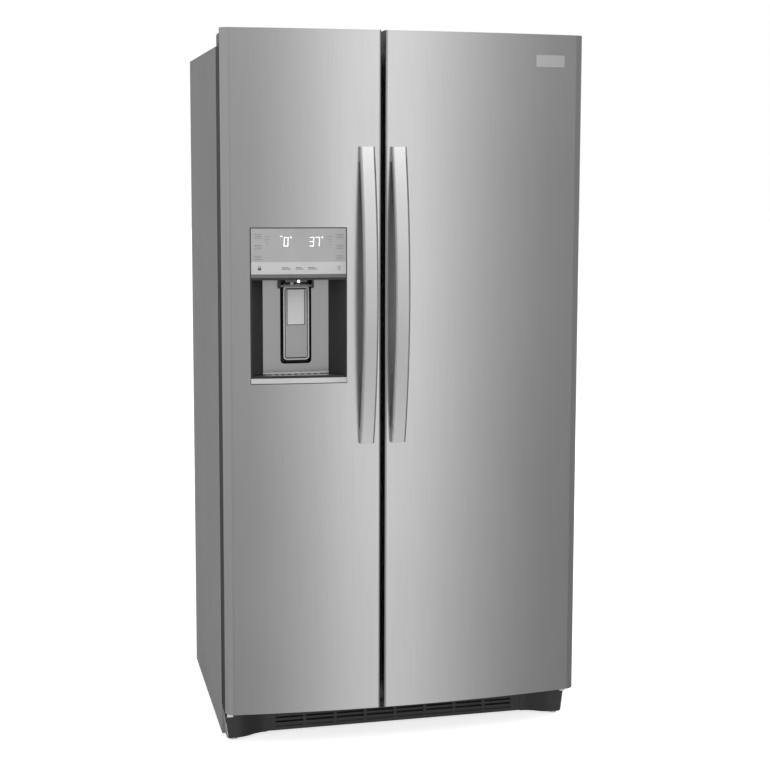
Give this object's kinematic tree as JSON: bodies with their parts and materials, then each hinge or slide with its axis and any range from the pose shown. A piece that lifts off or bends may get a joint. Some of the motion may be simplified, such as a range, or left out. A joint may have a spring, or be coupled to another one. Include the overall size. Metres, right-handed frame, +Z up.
{
  "type": "side by side refrigerator",
  "caption": "Tall side by side refrigerator with bowed steel doors, long bar handles, an ice and water dispenser, shelves, drawers and door bins.",
  "frame": {"origin": "on the floor, below the middle of the bounding box", "axes": "+Z up, -Y out of the front of the doors, +X to the right as seen from the front"},
  "size_m": [0.914, 0.818, 1.779],
  "materials": {
    "brushed_stainless": "fine vertical brushing, satin",
    "satin_bar": "satin",
    "painted_grey": "fine textured paint",
    "galvanised": "dull galvanised",
    "zinc_steel": "zinc plated",
    "white_liner": "smooth, slightly glossy",
    "foam": "rigid polyurethane foam",
    "black_plastic": "matt",
    "grey_plastic": "fine grain",
    "panel_grey": "silver lacquer",
    "clear_plastic": "clear",
    "frosted_plastic": "frosted",
    "seal_rubber": "soft vinyl",
    "badge_metal": "bright",
    "alloy": "mill finish",
    "black_metal": "gloss black",
    "shelf_glass": "toughened, clear",
    "lamp_lens": "milky"
  },
  "bodies": {
    "cabinet": {"cabinet_shell": "painted_grey", "cabinet_foam": "foam", "back_panel": "galvanised", "freezer_liner": "white_liner", "fridge_liner": "white_liner", "mullion_cover": "painted_grey", "rear_access_cover": "galvanised", "base_frame": "painted_grey", "toe_grille": "black_plastic", "foot_cover_left": "black_plastic", "foot_cover_right": "black_plastic", "top_hinges": "zinc_steel", "hinge_covers": "grey_plastic", "bottom_hinges": "zinc_steel", "compressor": "black_metal", "condenser_coil": "black_metal", "drain_pan": "black_plastic", "fan_motors": "zinc_steel", "water_valve": "white_liner", "mains_gland": "black_plastic", "screws": "zinc_steel", "evaporator_coil": "alloy", "evaporator_cover": "white_liner", "freezer_shelves": "white_liner", "shelf_frames": "white_liner", "shelf_glass": "shelf_glass", "ice_maker": "white_liner", "air_duct": "white_liner", "interior_lamps": "lamp_lens"},
    "freezer_door": {"freezer_door_skin": "brushed_stainless", "freezer_door_caps": "grey_plastic", "freezer_door_foam": "foam", "freezer_door_liner": "white_liner", "freezer_door_gasket": "seal_rubber", "freezer_door_bins": "clear_plastic", "freezer_handle": "satin_bar", "dispenser_housing": "black_plastic", "dispenser_panel": "panel_grey", "ice_chute": "black_plastic"},
    "fridge_door": {"fridge_door_skin": "brushed_stainless", "fridge_door_caps": "grey_plastic", "fridge_door_foam": "foam", "fridge_door_liner": "white_liner", "fridge_door_gasket": "seal_rubber", "fridge_door_bins": "clear_plastic", "fridge_handle": "satin_bar", "badge": "badge_metal"},
    "dispenser_paddle": {"dispenser_paddle": "grey_plastic"},
    "drip_tray": {"drip_tray": "black_plastic"},
    "dairy_lid": {"dairy_lid": "clear_plastic"},
    "freezer_basket": {"freezer_basket": "frosted_plastic"},
    "ice_bin": {"ice_bin": "frosted_plastic"},
    "crisper_drawer": {"crisper_drawer": "clear_plastic"},
    "deli_drawer": {"deli_drawer": "clear_plastic"},
    "condenser_fan": {"condenser_fan": "grey_plastic"},
    "evaporator_fan": {"evaporator_fan": "grey_plastic"},
    "rear_roller_left": {"rear_roller_left": "black_plastic"},
    "rear_roller_right": {"rear_roller_right": "black_plastic"},
    "front_leg_left": {"front_leg_left": "zinc_steel"},
    "front_leg_right": {"front_leg_right": "zinc_steel"}
  },
  "joints": [
    {"name": "freezer_door_hinge", "type": "hinge", "parent": "cabinet", "child": "freezer_door", "pos_m": [-0.437, -0.261, 1], "axis": [0, 0, -1], "range_deg": [0, 125]},
    {"name": "fridge_door_hinge", "type": "hinge", "parent": "cabinet", "child": "fridge_door", "pos_m": [0.437, -0.261, 1], "axis": [0, 0, 1], "range_deg": [0, 125]},
    {"name": "paddle_pivot", "type": "hinge", "parent": "freezer_door", "child": "dispenser_paddle", "pos_m": [-0.273, -0.296, 1.16], "axis": [1, 0, 0], "range_deg": [0, 8], "stiffness_Nm_per_rad": 0.5, "springref_deg": -3.44},
    {"name": "drip_tray_slide", "type": "slide", "parent": "freezer_door", "child": "drip_tray", "axis": [0, -1, 0], "range_m": [0, 0.05]},
    {"name": "dairy_lid_hinge", "type": "hinge", "parent": "fridge_door", "child": "dairy_lid", "pos_m": [0.191, -0.216, 1.542], "axis": [1, 0, 0], "range_deg": [0, 85]},
    {"name": "freezer_basket_slide", "type": "slide", "parent": "cabinet", "child": "freezer_basket", "axis": [0, -1, 0], "range_m": [0, 0.186]},
    {"name": "ice_bin_slide", "type": "slide", "parent": "cabinet", "child": "ice_bin", "axis": [0, -1, 0], "range_m": [0, 0.186]},
    {"name": "crisper_drawer_slide", "type": "slide", "parent": "cabinet", "child": "crisper_drawer", "axis": [0, -1, 0], "range_m": [0, 0.186]},
    {"name": "deli_drawer_slide", "type": "slide", "parent": "cabinet", "child": "deli_drawer", "axis": [0, -1, 0], "range_m": [0, 0.186]},
    {"name": "condenser_fan_spin", "type": "hinge", "parent": "cabinet", "child": "condenser_fan", "pos_m": [-0.07, 0.29, 0.14], "axis": [1, 0, 0], "continuous": true},
    {"name": "evaporator_fan_spin", "type": "hinge", "parent": "cabinet", "child": "evaporator_fan", "pos_m": [-0.253, 0.283, 1.08], "axis": [0, 1, 0], "continuous": true},
    {"name": "rear_roller_left_spin", "type": "hinge", "parent": "cabinet", "child": "rear_roller_left", "pos_m": [-0.43, 0.36, 0.022], "axis": [1, 0, 0], "continuous": true},
    {"name": "rear_roller_right_spin", "type": "hinge", "parent": "cabinet", "child": "rear_roller_right", "pos_m": [0.43, 0.36, 0.022], "axis": [1, 0, 0], "continuous": true},
    {"name": "front_leg_left_turn", "type": "hinge", "parent": "cabinet", "child": "front_leg_left", "pos_m": [-0.428, -0.231, 0.05], "axis": [0, 0, 1], "continuous": true},
    {"name": "front_leg_right_turn", "type": "hinge", "parent": "cabinet", "child": "front_leg_right", "pos_m": [0.428, -0.231, 0.05], "axis": [0, 0, 1], "continuous": true}
  ],
  "couplings": [
    {"joint": "freezer_basket_slide", "follows": "freezer_door_hinge", "m_per_rad": 0.085},
    {"joint": "ice_bin_slide", "follows": "freezer_door_hinge", "m_per_rad": 0.085},
    {"joint": "crisper_drawer_slide", "follows": "fridge_door_hinge", "m_per_rad": 0.085},
    {"joint": "deli_drawer_slide", "follows": "fridge_door_hinge", "m_per_rad": 0.085}
  ]
}
